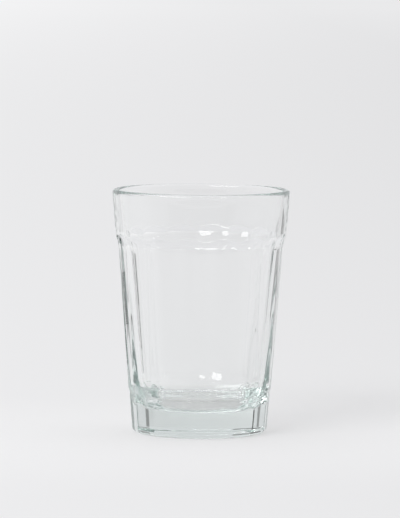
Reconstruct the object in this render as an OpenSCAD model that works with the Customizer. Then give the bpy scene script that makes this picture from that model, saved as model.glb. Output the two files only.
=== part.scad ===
// Chai glass: a small tapered tumbler pressed from one gob of clear glass.
// A plain band runs under the rounded lip, flat panels ring the body below it,
// and a thick foot carries the same facets down to the table, under a shallow neck.
// The underside is slightly hollow, so the glass stands on a narrow ring.
// Millimetres, +Z up, origin at the middle of that ring, at table level.

/* [Outside] */
// Height from the table to the top of the lip
height = 90.5; // [75:0.5:120]
// Diameter across the lip
rim_d = 66; // [58:0.5:80]
// Diameter of the plain cone at the table, before the panels are pressed into it
foot_d = 51; // [44:0.5:56]
// Rounding of the bottom edge of the foot
foot_r = 2; // [0.8:0.1:2.5]

/* [Panels] */
// Number of panels round the body, an even number
panels = 16; // [12:2:20]
// Height of the plain band, from the top of the lip to the tops of the panels
band_h = 16.5; // [10:0.5:26]
// How far the ridges between the panels lie inside the plain cone, under the band
ridge_top = 0.6; // [0.3:0.05:0.9]
// How far the ridges lie inside the plain cone, above the neck
ridge_foot = 0.15; // [0.1:0.05:0.9]
// Radius of the curve that runs the top of each panel out into the band
runout_r = 17; // [5:0.5:25]

/* [Foot ring] */
// Height of the faceted ring round the foot, up to the neck
ring_h = 14.5; // [10:0.5:20]
// How far the corners of the ring lie inside the plain cone
ring_depth = 0.4; // [0.2:0.05:0.8]
// How far the corners of the neck lie inside the plain cone
neck_depth = 0.6; // [0.5:0.05:1.2]
// Height of the slope from the ring in to the neck
ledge_h = 0.6; // [0.3:0.1:1.5]
// Height of the slope from the neck out to the panels
neck_h = 2; // [1:0.1:4]

/* [Underside] */
// Width of the flat ring that the glass stands on, from the rounding inwards
stand_w = 1.6; // [1:0.1:4]
// Depth of the shallow hollow inside that ring
hollow_h = 0.8; // [0.3:0.1:1.5]
// Width of the slope from the ring up to the hollow's flat
hollow_slope = 2.3; // [0.5:0.1:5]

/* [Inside] */
// Thickness of the glass at the lip, which is fully rounded
lip_t = 2.4; // [1.8:0.1:3.2]
// Thickness of the wall at the level of the floor, from the plain cone inwards
foot_wall = 5.5; // [4:0.1:8]
// Thickness of the glass under the tea
floor_t = 9; // [6:0.5:14]
// Radius of the curve from the inside wall to the floor
cavity_r = 13.5; // [4:0.5:16]

/* [Hidden] */
$fn = 96;

// Half the angle that one panel takes up, and what it does to a radius
half_panel = 180 / panels;
flat_share = cos(half_panel);

// Lip: a circle in the section, with the outside wall tangent to it
lip_r = lip_t / 2;
lip_c = [rim_d / 2 - lip_r, height - lip_r];
foot_edge = [foot_d / 2, 0];
lip_from_foot = lip_c - foot_edge;
lean = atan2(lip_from_foot.x, lip_from_foot.y) + asin(lip_r / norm(lip_from_foot));
lip_out = lip_c + lip_r * [cos(lean), -sin(lean)];

// Radius of the plain cone at a height
function cone_r(z) = foot_edge.x + z * tan(lean);

// Distance from the axis, at a height, of a flat whose corners lie that deep inside the cone
function flat_a(z, depth) = (cone_r(z) - depth) * flat_share;

// Inside: the wall is tangent to the lip above and to the floor's curve below
floor_corner = [cone_r(floor_t) - foot_wall, floor_t];
lip_from_floor = lip_c - floor_corner;
inner_lean = atan2(lip_from_floor.x, lip_from_floor.y) - asin(lip_r / norm(lip_from_floor));
lip_in = lip_c - lip_r * [cos(inner_lean), -sin(inner_lean)];
cavity_c = floor_corner + cavity_r * [-(1 - sin(inner_lean)) / cos(inner_lean), 1];
wall_end = cavity_c + cavity_r * [cos(inner_lean), -sin(inner_lean)];

// Panels: straight from the neck up to the band, as far as the run-out lets them go
band_foot = height - band_h;
panel_foot = ring_h + neck_h;
panel_low = [flat_a(panel_foot, ridge_foot), panel_foot];
panel_high = [flat_a(band_foot, ridge_top), band_foot];
panel_lean = atan2(panel_high.x - panel_low.x, panel_high.y - panel_low.y);

// Run-out: a circle that touches the panel and leaves the cone where the band starts
runout_in = runout_r - (cone_r(band_foot) - panel_high.x) * cos(panel_lean);
runout_rise = sqrt(runout_r * runout_r - runout_in * runout_in);
runout_c = [cone_r(band_foot), band_foot]
    + runout_in * [cos(panel_lean), -sin(panel_lean)]
    - runout_rise * [sin(panel_lean), cos(panel_lean)];
runout_foot = runout_c - runout_r * [cos(panel_lean), -sin(panel_lean)];

// Rounding of the bottom edge, tangent to the table and to the ring's facets
ring_lean = atan(tan(lean) * flat_share);
foot_c = [flat_a(0, ring_depth) - foot_r * (1 - sin(ring_lean)) / cos(ring_lean), foot_r];
foot_side = foot_c + foot_r * [cos(ring_lean), -sin(ring_lean)];

// Hollow: starts inside the standing ring
hollow_r = foot_c.x - stand_w;

// Room that a cutting outline keeps beyond the glass
spare = 5;

// Half section of the plain glass, as if no panels had been pressed into it
module wall_section() {
    difference() {
        union() {
            polygon([
                [0, hollow_h],
                [hollow_r - hollow_slope, hollow_h],
                [hollow_r, 0],
                [hollow_r, -spare],
                [cone_r(-spare), -spare],
                lip_out,
                lip_in,
                wall_end,
                [cavity_c.x, floor_t],
                [0, floor_t],
            ]);
            translate(lip_c) circle(lip_r);
        }
        translate(cavity_c) circle(cavity_r);
    }
}

// One side of the outline seen square to a panel: foot, ring, neck, panel, run-out and band
module panel_side() {
    difference() {
        union() {
            polygon([
                [0, 0],
                [foot_c.x, 0],
                foot_side,
                [flat_a(ring_h - ledge_h, ring_depth), ring_h - ledge_h],
                [flat_a(ring_h, neck_depth), ring_h],
                panel_low,
                runout_foot,
                [rim_d / 2 + spare, runout_foot.y],
                [rim_d / 2 + spare, height + spare],
                [0, height + spare],
            ]);
            translate(foot_c) circle(foot_r);
        }
        translate(runout_c) circle(runout_r);
    }
}

// What the outlines across every pair of opposite panels have in common
module panelled_outline() {
    intersection_for (pair = [0 : panels / 2 - 1])
        rotate([90, 0, (2 * pair + 1) * half_panel])
            linear_extrude(2 * rim_d, center = true)
                union() {
                    panel_side();
                    mirror([1, 0]) panel_side();
                }
}

// The whole glass, one piece
module tumbler() {
    color([0.82, 0.91, 0.88, 0.45])
        intersection() {
            rotate_extrude() wall_section();
            panelled_outline();
        }
}

tumbler();
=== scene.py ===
# %% [markdown]
# # A pressed chai glass
# This notebook gives one small tea glass its looks. The solid that carries its sizes was made
# elsewhere and arrives as a frame: it is loaded first, it is never moved, and every new mesh
# sits in the same place in the same metres. A glass has one piece and no paint, so nearly all
# of its look comes from two things: the exact shape of its surfaces, and what the light finds
# when it comes out on the other side.

# %% Load the frame
import math

import bpy
import numpy as np
from mathutils import Matrix, Vector


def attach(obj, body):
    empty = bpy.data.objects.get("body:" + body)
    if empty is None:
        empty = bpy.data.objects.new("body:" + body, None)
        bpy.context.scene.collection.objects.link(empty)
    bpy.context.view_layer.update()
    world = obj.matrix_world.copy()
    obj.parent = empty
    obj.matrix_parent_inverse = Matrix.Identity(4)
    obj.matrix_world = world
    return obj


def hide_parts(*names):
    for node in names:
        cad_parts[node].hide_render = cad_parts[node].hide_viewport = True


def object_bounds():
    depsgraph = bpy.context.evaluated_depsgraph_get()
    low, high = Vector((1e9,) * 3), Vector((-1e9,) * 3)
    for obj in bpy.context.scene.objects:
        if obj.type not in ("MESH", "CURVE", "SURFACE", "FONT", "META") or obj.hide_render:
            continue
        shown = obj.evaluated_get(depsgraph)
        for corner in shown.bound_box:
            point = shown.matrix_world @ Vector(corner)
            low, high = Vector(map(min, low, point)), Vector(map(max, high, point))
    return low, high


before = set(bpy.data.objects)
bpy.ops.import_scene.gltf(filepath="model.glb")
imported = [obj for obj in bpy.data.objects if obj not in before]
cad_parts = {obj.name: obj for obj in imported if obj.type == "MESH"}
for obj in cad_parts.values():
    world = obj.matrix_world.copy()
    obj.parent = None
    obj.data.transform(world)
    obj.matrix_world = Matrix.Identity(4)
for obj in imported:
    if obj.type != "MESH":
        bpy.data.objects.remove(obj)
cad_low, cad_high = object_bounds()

MM = 0.001
print("frame:", sorted(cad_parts), "box in mm:", [round(v / MM, 2) for v in (*cad_low, *cad_high)])

# %% [markdown]
# ## The sizes of the glass
# The height and the rim come from the frame. The other sizes are those of the solid, in
# millimetres, because a finished mesh no longer says what it was drawn from. A pressed glass is
# easiest to think of as a plain cone with a rounded lip, into which the mould has pushed flat
# panels. So each flat is given by how deep its corners lie inside that cone.

# %% Driving sizes, in millimetres
height = (cad_high.z - cad_low.z) / MM
rim_radius = (cad_high.x - cad_low.x) / 2 / MM
cone_foot_radius = 25.5
panels = 16
half_panel = math.pi / panels
band_height = 16.5
runout_radius = 17.0
ring_height = 14.5
ledge_height = 0.6
neck_height = 2.0
ridge_top, ridge_foot, neck_depth, ring_depth = 0.6, 0.15, 0.6, 0.4
foot_rounding = 2.0
lip_thickness = 2.4
foot_wall = 5.5
floor_thickness = 9.0
cavity_curve = 13.5
stand_width = 1.6
hollow_height, hollow_slope = 0.8, 2.3
print(f"glass {height:.1f} tall, {2 * rim_radius:.1f} across the rim, {panels} panels")

# %% [markdown]
# ## The half section
# A turned shape is drawn once, as the line that goes from the middle of the underside, up the
# outside, over the lip and down the inside to the middle of the floor. The lip is a circle. The
# two wall lines are tangents to it, which a little trigonometry finds: from a point, the tangent
# to a circle leaves the line to the circle's centre by the angle whose sine is radius over
# distance. Working it out keeps the lip smooth, with no modifier needed to round it.

# %% Lip, cone and inside wall
lip_radius = lip_thickness / 2
lip_centre = np.array([rim_radius - lip_radius, height - lip_radius])


def tangent_lean(corner, side):
    """Lean from upright of the line from a corner to the lip's circle, touching it on one side.

    It is the lean of the line to the circle's centre, plus or minus the angle whose sine is
    the circle's radius over the distance.
    """
    reach = lip_centre - corner
    return math.atan2(*reach) + side * math.asin(lip_radius / np.hypot(*reach))


cone_lean = tangent_lean(np.array([cone_foot_radius, 0.0]), +1)


def cone_r(z):
    """Radius of the plain cone at a height: the foot's radius plus the height times the slope."""
    return cone_foot_radius + z * math.tan(cone_lean)


floor_corner = np.array([cone_r(floor_thickness) - foot_wall, floor_thickness])
inner_lean = tangent_lean(floor_corner, -1)
curve_back = (1 - math.sin(inner_lean)) / math.cos(inner_lean)
cavity_centre = floor_corner + cavity_curve * np.array([-curve_back, 1.0])
print(f"outside leans {math.degrees(cone_lean):.2f}, inside {math.degrees(inner_lean):.2f} degrees")

# %% [markdown]
# ## The panels
# The mould presses sixteen flats into the cone. Seen from above, the distance to a flat grows as
# one over the cosine of the angle from its middle, so the corners stand out as ridges. Fire
# polishing melts the sharp ridge away. Adding the sixteen flats with a high power, instead of
# taking the nearest one, gives that soft ridge in a single formula. At the top each flat runs
# out into the round band along an arc, and the join is softened in the same spirit by a smooth
# minimum.

# %% Flats, ridges and run-out
flat_share = math.cos(half_panel)
band_foot = height - band_height
panel_foot = ring_height + neck_height
ridge_power = 100
join_softness = 0.15
press_softness = 0.35
press_steps = 9
neck_clear = 1.0


def flat_at(z, depth):
    """Distance from the axis of a flat whose corners lie a depth inside the cone."""
    return (cone_r(z) - depth) * flat_share


panel_low = np.array([flat_at(panel_foot, ridge_foot), panel_foot])
panel_high = np.array([flat_at(band_foot, ridge_top), band_foot])
panel_lean = math.atan2(*(panel_high - panel_low))
lean_out = np.array([math.cos(panel_lean), -math.sin(panel_lean)])
lean_up = np.array([math.sin(panel_lean), math.cos(panel_lean)])
runout_in = runout_radius - (cone_r(band_foot) - panel_high[0]) * math.cos(panel_lean)
runout_rise = math.sqrt(runout_radius ** 2 - runout_in ** 2)
runout_centre = np.array([cone_r(band_foot), band_foot]) + runout_in * lean_out - runout_rise * lean_up
runout_foot = runout_centre - runout_radius * lean_out


def flat_line(z):
    """Distance of the flats from the axis by height: straight from ring to neck to panel, then an arc.

    The straight pieces are averaged over a small height, which rounds their corners as polishing does.
    """
    knots = np.array([
        [0.0, flat_at(0.0, ring_depth)],
        [ring_height - ledge_height, flat_at(ring_height - ledge_height, ring_depth)],
        [ring_height, flat_at(ring_height, neck_depth)],
        panel_low[::-1],
        panel_high[::-1],
    ])
    slope = math.tan(panel_lean)
    z = np.asarray(z, float)
    shifts = np.linspace(-press_softness, press_softness, press_steps)
    lines = np.mean([np.interp(z + s, knots[:, 0], knots[:, 1]) for s in shifts], axis=0)
    lines = np.where(z > panel_foot + neck_clear, panel_low[0] + (z - panel_foot) * slope, lines)
    rise = np.clip((z - runout_centre[1]) / runout_radius, -1, 1)
    arc = runout_centre[0] - runout_radius * np.sqrt(1 - rise ** 2)
    return np.where(z > runout_foot[1], arc, lines)


def ridged(angle):
    """How much further out than a flat's middle the flats reach at an angle, with soft ridges.

    Each flat reaches one over the cosine of the angle from its middle. The inverse of a high
    power of those cosines, summed and rooted, is close to the nearest flat and round at a ridge.
    """
    middle = half_panel + 2 * half_panel * np.floor(angle / (2 * half_panel))
    turns = 2 * half_panel * np.arange(-2, 3)
    cosines = np.cos((angle - middle)[..., None] - turns)
    return (cosines ** ridge_power).sum(axis=-1) ** (-1 / ridge_power)


def smooth_min(a, b, width):
    """The smaller of two values, rounded off where they come within a width of each other.

    A share from nought to one blends them, less the width times the share times the rest of it.
    """
    share = np.clip(0.5 + 0.5 * (b - a) / width, 0, 1)
    return b + (a - b) * share - width * share * (1 - share)


print(f"panels from {panel_foot:.1f} to {runout_foot[1]:.1f} mm, run out at {band_foot:.1f} mm")

# %% [markdown]
# ## One grid for the whole skin
# The outside needs rows where it bends, the lip needs even steps round its circle, and the inside
# needs a curve at the floor. Each stretch gives an array of radii and heights, and all of them are
# stacked into one grid of rows by columns. A row that is the same all round is spread over the
# columns by adding nought times their reach. Columns crowd towards the ridges, where the shape
# turns: their place on a panel is one and a half times an even share, less half its cube.

# %% Rows and columns
columns_per_panel = 20
underside_count, foot_count, lip_count = 40, 12, 26
outside_counts = (18, 26, 36, 34, 14)
wall_count, curve_count, floor_count = 36, 34, 8
bend_room, arc_room = 1.5, 1.0
along = np.linspace(-1, 1, columns_per_panel + 1)[:-1]
crowded = half_panel * (1.5 * along - 0.5 * along ** 3)
angles = (half_panel * (2 * np.arange(panels)[:, None] + 1) + crowded).ravel()
reach = ridged(angles)

ring_lean = math.atan(math.tan(cone_lean) * flat_share)
foot_back = (1 - math.sin(ring_lean)) / math.cos(ring_lean)
foot_centre = np.array([flat_at(0.0, ring_depth) - foot_rounding * foot_back, foot_rounding])
hollow_radius = foot_centre[0] - stand_width


def underside_rows():
    """Underside: a flat ring to stand on, then a smooth step up to a shallow hollow in the middle.

    The step is three times its share squared less twice its share cubed, by distance from the axis.
    """
    r = foot_centre[0] * np.linspace(0, 1, underside_count)[1:, None] * reach
    step = np.clip((hollow_radius - r) / hollow_slope, 0, 1)
    return r, hollow_height * step ** 2 * (3 - 2 * step)


def foot_rows():
    """Rounded bottom edge: a quarter circle from straight down to square to the ring's flats."""
    turn = np.linspace(-math.pi / 2, -ring_lean, foot_count)[1:, None]
    r = (foot_centre[0] + foot_rounding * np.cos(turn)) * reach
    return r, foot_rounding * (1 + np.sin(turn)) + 0 * reach


def outside_rows():
    """Outside wall: the smooth minimum of the cone and the flats, by height and angle.

    Each stretch of heights has its own number of rows, so that rows lie close where the wall bends.
    """
    foot_edge = foot_rounding * (1 - math.sin(ring_lean))
    neck_from, neck_to = ring_height - bend_room, panel_foot + bend_room
    arc_from, arc_to = runout_foot[1] - arc_room, band_foot + bend_room
    lip_edge = lip_centre[1] - lip_radius * math.sin(cone_lean)
    heights = [foot_edge, neck_from, neck_to, arc_from, arc_to, lip_edge]
    spans = zip(heights[:-1], heights[1:], outside_counts)
    z = np.concatenate([np.linspace(low, high, count)[1:] for low, high, count in spans])[:, None]
    return smooth_min(flat_line(z) * reach, cone_r(z) + 0 * reach, join_softness), z + 0 * reach


def lip_rows():
    """Lip: the angle runs round the circle from the outside tangent, over the top, to the inside one."""
    turn = np.linspace(-cone_lean, math.pi - inner_lean, lip_count)[1:, None] + 0 * reach
    return lip_centre[0] + lip_radius * np.cos(turn), lip_centre[1] + lip_radius * np.sin(turn)


def inside_rows():
    """Inside: the straight wall, the curve to the floor as a circle's arc, then the floor."""
    across = np.array([math.cos(inner_lean), -math.sin(inner_lean)])
    top, bottom = lip_centre - lip_radius * across, cavity_centre + cavity_curve * across
    wall = top + (bottom - top) * np.linspace(0, 1, wall_count)[1:, None]
    turn = np.linspace(-inner_lean, -math.pi / 2, curve_count)[1:]
    curve = cavity_centre + cavity_curve * np.stack([np.cos(turn), np.sin(turn)], axis=-1)
    inward = cavity_centre[0] * np.linspace(1, 0, floor_count)[1:-1]
    floor = np.stack([inward, np.full(len(inward), floor_thickness)], axis=-1)
    r, z = np.concatenate([wall, curve, floor]).T
    return r[:, None] + 0 * reach, z[:, None] + 0 * reach


stretches = [underside_rows(), foot_rows(), outside_rows(), lip_rows(), inside_rows()]
radius = np.concatenate([r for r, _ in stretches])
level = np.concatenate([z for _, z in stretches])
print(f"grid of {radius.shape[0]} rows by {radius.shape[1]} columns")

# %% [markdown]
# ## From grid to mesh
# Turning the grid into points is one line of trigonometry. Each cell becomes a quad, the last
# column joins the first, and a fan of triangles closes the middle of the underside and of the
# floor, so the skin is shut and light can go in and out of it as it does in glass.

# %% The tumbler's mesh


def skin_mesh(name, r, z):
    """A closed skin from a grid of radii and heights.

    A point lies at its radius times the sine and minus the cosine of its column's angle. Cells of
    the grid are quads, and a fan of triangles closes each end.
    """
    rows, columns = r.shape
    points = np.stack([r * np.sin(angles), -r * np.cos(angles), z], axis=-1).reshape(-1, 3)
    poles = np.array([[0, 0, z[0, 0]], [0, 0, z[-1, 0]]])
    here = np.arange(columns)
    beside = (here + 1) % columns
    first = columns * np.arange(rows - 1)[:, None]
    above = first + columns
    quads = np.stack([first + here, first + beside, above + beside, above + here], axis=-1)
    last = columns * (rows - 1)
    under = np.stack([np.full(columns, rows * columns), beside, here], axis=-1)
    over = np.stack([np.full(columns, rows * columns + 1), last + here, last + beside], axis=-1)
    mesh = bpy.data.meshes.new(name)
    faces = [*quads.reshape(-1, 4).tolist(), *under.tolist(), *over.tolist()]
    mesh.from_pydata(np.concatenate([points, poles]) * MM, [], faces)
    mesh.shade_smooth()
    mesh.validate()
    return mesh


tumbler = bpy.data.objects.new("glass_tumbler", skin_mesh("glass_tumbler", radius, level))
bpy.context.scene.collection.objects.link(tumbler)
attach(tumbler, "root")
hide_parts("tumbler")
print(f"{len(tumbler.data.polygons)} faces")

# %% [markdown]
# ## Colours and nodes
# Colours are written the way a colour picker shows them, as sRGB hex, and turned to the linear
# values that a shader works with. One small function adds a node, sets it and links it.

# %% Two helpers


def linear(hex_colour):
    """sRGB hex to linear: a straight part near black, and above it a power of 2.4."""
    srgb = np.array([int(hex_colour[i:i + 2], 16) for i in (1, 3, 5)]) / 255
    channels = np.where(srgb <= 0.04045, srgb / 12.92, ((srgb + 0.055) / 1.055) ** 2.4)
    return (*channels.tolist(), 1.0)


def add_node(tree, kind, settings=None, **inputs):
    """Adds a node, sets its settings, and gives each named input a value or a link from a socket."""
    node = tree.nodes.new(kind)
    for key, value in (settings or {}).items():
        setattr(node, key, value)
    for key, value in inputs.items():
        socket = node.inputs[int(key[2:])] if key.startswith("in") else node.inputs[key.replace("_", " ")]
        if isinstance(value, bpy.types.NodeSocket):
            tree.links.new(value, socket)
        else:
            socket.default_value = value
    return node


print("mid grey #808080 is", [round(v, 3) for v in linear("#808080")])

# %% [markdown]
# ## Pressed soda-lime glass
# Cheap tea glasses are soda-lime glass: index about 1.52, clear through the wall, with a cool
# green cast from traces of iron that shows only where light crosses a lot of glass. Absorption in
# the volume gives that by itself, so the colour isn't painted on the surface. The surface was
# chilled by the mould and then fire-polished: glossy, with faint waves a few millimetres across
# that are drawn out upright. A noise stretched along the height and fed to a bump gives them. Their
# lengths are in millimetres, and the absorption is for each metre of glass.

# %% Glass material
glass_index = 1.52
wave_length = 7.0
wave_height = 0.02
streak_share = 0.35
glass_absorption = 6.25
glass_colour = "#77a89d"


def soda_lime_glass():
    """Clear glass whose green comes from its depth, with the faint waves that a mould leaves."""
    material = bpy.data.materials.new("pressed_soda_lime_glass")
    material.use_nodes = True
    tree = material.node_tree
    shader = tree.nodes["Principled BSDF"]
    shader.inputs["Base Color"].default_value = (1, 1, 1, 1)
    shader.inputs["IOR"].default_value = glass_index
    shader.inputs["Transmission Weight"].default_value = 1.0
    shader.inputs["Roughness"].default_value = 0.0
    streaks = add_node(tree, "ShaderNodeMapping", Scale=(1, 1, streak_share),
                       Vector=add_node(tree, "ShaderNodeTexCoord").outputs["Object"])
    waves = add_node(tree, "ShaderNodeTexNoise", Vector=streaks.outputs[0],
                     Scale=1 / (wave_length * MM), Detail=1.0)
    ripple = add_node(tree, "ShaderNodeBump", Height=waves.outputs[0], Distance=wave_height * MM)
    tree.links.new(ripple.outputs[0], shader.inputs["Normal"])
    absorb = add_node(tree, "ShaderNodeVolumeAbsorption",
                      Color=linear(glass_colour), Density=glass_absorption)
    tree.links.new(absorb.outputs[0], tree.nodes["Material Output"].inputs["Volume"])
    return material


tumbler.data.materials.append(soda_lime_glass())
print("material:", tumbler.data.materials[0].name)

# %% [markdown]
# ## The floor
# Clear glass shows whatever lies behind it, so it is often photographed on a sheet of matt white
# acrylic with some light under it: the sheet stays bright below the glass, where no lamp from
# above would reach. A large plane that both scatters and glows does the same, so its glow is painted
# light. The glow is stronger on the left, far back and in a strip at the foot of the glass, as in the
# picture, and a little weaker away from that strip, so it is a sum of three ramps over the sheet, in
# metres. The sheet lies a hair below the glass, which keeps the two surfaces apart, and the camera never
# sees its far edge.

# %% Pale acrylic floor
floor_half = 12.0
air_gap = 2e-5
floor_colour = "#aaaaab"
# Painted light: the floor's glow is brighter on the left, far back and in a strip at the foot of the
# glass.
glow_left, glow_right, side_reach = 0.515, 0.365, 0.5
glow_back, back_reach = 0.165, 6.0
glow_strip, glow_off = 0.035, -0.014
strip_place, strip_reach = -0.03, 0.16


def white_acrylic():
    """A matt white sheet whose glow, painted light, adds a ramp from left to right, one to the back and a
    bright strip.
    """
    material = bpy.data.materials.new("white_acrylic")
    material.use_nodes = True
    tree = material.node_tree
    shader = tree.nodes["Principled BSDF"]
    shader.inputs["Base Color"].default_value = linear(floor_colour)
    shader.inputs["Roughness"].default_value = 1.0
    shader.inputs["Specular IOR Level"].default_value = 0.0
    shader.inputs["Emission Color"].default_value = (1, 1, 1, 1)
    place = add_node(tree, "ShaderNodeSeparateXYZ",
                     in0=add_node(tree, "ShaderNodeTexCoord").outputs["Object"])
    across = add_node(tree, "ShaderNodeMapRange", in0=place.outputs["X"],
                      in1=-side_reach, in2=side_reach, in3=glow_left, in4=glow_right)
    behind = add_node(tree, "ShaderNodeMapRange", in0=place.outputs["Y"],
                      in1=0.0, in2=back_reach, in3=0.0, in4=glow_back)
    # Painted light: a bright strip of glow just in front of the glass's foot, a little weaker away from
    # it.
    beyond = add_node(tree, "ShaderNodeMath", {"operation": "SUBTRACT"},
                      in0=place.outputs["Y"], in1=strip_place)
    apart = add_node(tree, "ShaderNodeMath", {"operation": "ABSOLUTE"}, in0=beyond.outputs[0])
    strip = add_node(tree, "ShaderNodeMapRange", {"interpolation_type": "SMOOTHSTEP"},
                     in0=apart.outputs[0], in1=0.0, in2=strip_reach, in3=glow_strip, in4=glow_off)
    ramps = add_node(tree, "ShaderNodeMath", in0=across.outputs[0], in1=behind.outputs[0])
    glow = add_node(tree, "ShaderNodeMath", in0=ramps.outputs[0], in1=strip.outputs[0])
    tree.links.new(glow.outputs[0], shader.inputs["Emission Strength"])
    return material


floor_mesh = bpy.data.meshes.new("acrylic_floor")
floor_corners = floor_half * np.array([[-1, -1, 0], [1, -1, 0], [1, 1, 0], [-1, 1, 0]])
floor_mesh.from_pydata(floor_corners - [0, 0, air_gap], [], [(0, 1, 2, 3)])
floor_mesh.materials.append(white_acrylic())
floor = bpy.data.objects.new("acrylic_floor", floor_mesh)
bpy.context.scene.collection.objects.link(floor)
print("floor", 2 * floor_half, "m across")

# %% [markdown]
# ## Light
# Glass shows its surroundings, so lighting it means choosing what is around it. A pale room keeps
# it clear. Its walls are as bright as the floor, so no horizon shows in the glass; it grows a little
# brighter high up, and it is dim on the camera's side, so that the front of the glass mirrors little.
# A wide soft box stands in front on the left. It gives the small bright patches on the band and above
# the floor of the glass, and the faint shadow that falls back to the right.

# %% Surroundings and soft box
room_colour = "#fdfdff"
horizon_level, high_level = 0.82, 1.0
rise_from, rise_to = 0.25, 0.6
front_share = 0.3
front_from, front_to = -0.8, 0.2
key_power = 82.0
key_size = (2.8, 1.4)
key_place = Vector((-2.3, -2.6, 2.2))
key_aim = Vector((0.0, 0.0, 0.04))

world = bpy.data.worlds.new("studio")
bpy.context.scene.world = world
world.use_nodes = True
sky = world.node_tree
facing = add_node(sky, "ShaderNodeSeparateXYZ",
                  in0=add_node(sky, "ShaderNodeTexCoord").outputs["Generated"])
rise = add_node(sky, "ShaderNodeMapRange", {"interpolation_type": "SMOOTHSTEP"}, in0=facing.outputs["Z"],
                in1=rise_from, in2=rise_to, in3=horizon_level, in4=high_level)
front = add_node(sky, "ShaderNodeMapRange", {"interpolation_type": "SMOOTHSTEP"}, in0=facing.outputs["Y"],
                 in1=front_from, in2=front_to, in3=front_share, in4=1.0)
strength = add_node(sky, "ShaderNodeMath", {"operation": "MULTIPLY"},
                    in0=rise.outputs[0], in1=front.outputs[0])
sky.links.new(strength.outputs[0], sky.nodes["Background"].inputs["Strength"])
sky.nodes["Background"].inputs["Color"].default_value = linear(room_colour)

key = bpy.data.objects.new("soft_box", bpy.data.lights.new("soft_box", "AREA"))
key.data.energy = key_power
key.data.shape = "RECTANGLE"
key.data.size, key.data.size_y = key_size
key.location = key_place
key.rotation_euler = (key_aim - key_place).to_track_quat("-Z", "Y").to_euler()
bpy.context.scene.collection.objects.link(key)
print("soft box", key.data.energy, "W, room level", horizon_level, "to", high_level)

# %% [markdown]
# ## Dark cards
# Bright glass on a bright ground would vanish. Photographers stand strips of dark card beside the
# picture: the steep sides of the glass bend the view round to them and show them as dark edges.
# Following a few rays back through the wall says where to stand them. The two strips far off are
# plain sheets, which draw the thin upright lines in the foot. The strips close to the glass draw
# the edges of its wall. They are blinds, because a sheet there would show as a patch in other
# views. Steep slats lie along a view from high up, which passes between them, and level slats let
# level views pass. To the rays that leave the wall in this picture, a little downwards, both look
# closed. The cards hide from the camera and from the floor, so only the glass finds them.

# %% Cards beside the view
# Each card has its level, its left and right end as side and distance behind the glass, its lowest
# and highest point, all in millimetres, and a blind also has its slats' depth and slope.
slat_step = 1.0
steep_slats = (2.5, 0.66)
level_slats = (5.0, 0.0)
sheets = {
    "left_far": (0.30, (-1396, 1452), (-1388, 1460), (0, 60)),
    "right_far": (0.30, (354, 376), (384, 339), (0, 20)),
}
blinds = {
    "left_mid": (0.12, (-112, 170), (-54, 170), (14, 36), level_slats),
    "left_low": (0.12, (-68, 90), (-45, 90), (12, 32), steep_slats),
    "left_step": (0.12, (-56, 90), (-49, 90), (0, 12), steep_slats),
    "right_near": (0.35, (70, 90), (100, 90), (16, 60), steep_slats),
}


def sheet_corners(left, right, span):
    """Corners of an upright sheet between two places, over a span of heights."""
    bottom, top = span
    return np.array([[(*left, bottom), (*right, bottom), (*right, top), (*left, top)]])


def blind_corners(left, right, span, slats):
    """Corners of slats between two places: each falls by its depth times a slope, away from the glass."""
    bottom, top = span
    depth, slope = slats
    fronts = np.arange(top, bottom, -slat_step)[:, None, None] * [0, 0, 1]
    away = np.array([0, depth, -depth * slope])
    slat = np.array([(*left, 0), (*right, 0), (*right, 0) + away, (*left, 0) + away])
    return fronts + slat


def dark_card(name, shine, corners):
    """A card from the corners of its quads, in millimetres, that shines evenly at a low level."""
    mesh = bpy.data.meshes.new(name)
    quads = np.arange(4 * len(corners)).reshape(-1, 4)
    mesh.from_pydata(corners.reshape(-1, 3) * MM, [], quads.tolist())
    material = bpy.data.materials.new(name)
    material.use_nodes = True
    shader = material.node_tree.nodes["Principled BSDF"]
    shader.inputs["Base Color"].default_value = (0, 0, 0, 1)
    shader.inputs["Specular IOR Level"].default_value = 0.0
    shader.inputs["Emission Color"].default_value = (1, 1, 1, 1)
    shader.inputs["Emission Strength"].default_value = shine
    mesh.materials.append(material)
    card = bpy.data.objects.new(name, mesh)
    card.visible_camera = card.visible_diffuse = card.visible_shadow = False
    bpy.context.scene.collection.objects.link(card)


for card_name, (card_level, *places) in sheets.items():
    dark_card(card_name, card_level, sheet_corners(*places))
for card_name, (card_level, *places) in blinds.items():
    dark_card(card_name, card_level, blind_corners(*places))
print(len(sheets), "sheets and", len(blinds), "blinds beside the view")

# %% [markdown]
# ## Camera
# The picture was taken from a little above, with a long lens. The camera stands a few degrees to
# the left of the ridge that faces the front, and it is rolled by about half a degree. Its focal
# length in pixels makes the glass as large as in the picture, and the width of the sensor turns
# that into millimetres. Light crosses many surfaces inside glass, so it is allowed many bounces.

# %% Camera
camera_distance = 1.65
camera_height = 0.2017
camera_turn = math.radians(-3.5)
camera_roll = math.radians(0.45)
focal_pixels = 4455.0
picture_pixels = (400, 518)
sensor_width = 36.0
far_clip = 100.0
light_bounces = 64
aim = Vector((-0.00028, 0.0, 0.0645))
spot_x = camera_distance * math.sin(camera_turn)
spot_y = -camera_distance * math.cos(camera_turn)
spot = Vector((spot_x, spot_y, camera_height))
camera = bpy.data.objects.new("camera", bpy.data.cameras.new("camera"))
camera.data.sensor_width = sensor_width
camera.data.lens = focal_pixels / max(picture_pixels) * sensor_width
camera.data.clip_end = far_clip
turned = (aim - spot).to_track_quat("-Z", "Y").to_matrix() @ Matrix.Rotation(camera_roll, 3, "Z")
camera.matrix_world = Matrix.Translation(spot) @ turned.to_4x4()
bpy.context.scene.collection.objects.link(camera)
bpy.context.scene.camera = camera
bpy.context.scene.view_settings.view_transform = "Standard"
bpy.context.scene.cycles.max_bounces = light_bounces
bpy.context.scene.cycles.transmission_bounces = light_bounces
bpy.context.scene.cycles.glossy_bounces = light_bounces
print(f"lens {camera.data.lens:.0f} mm")
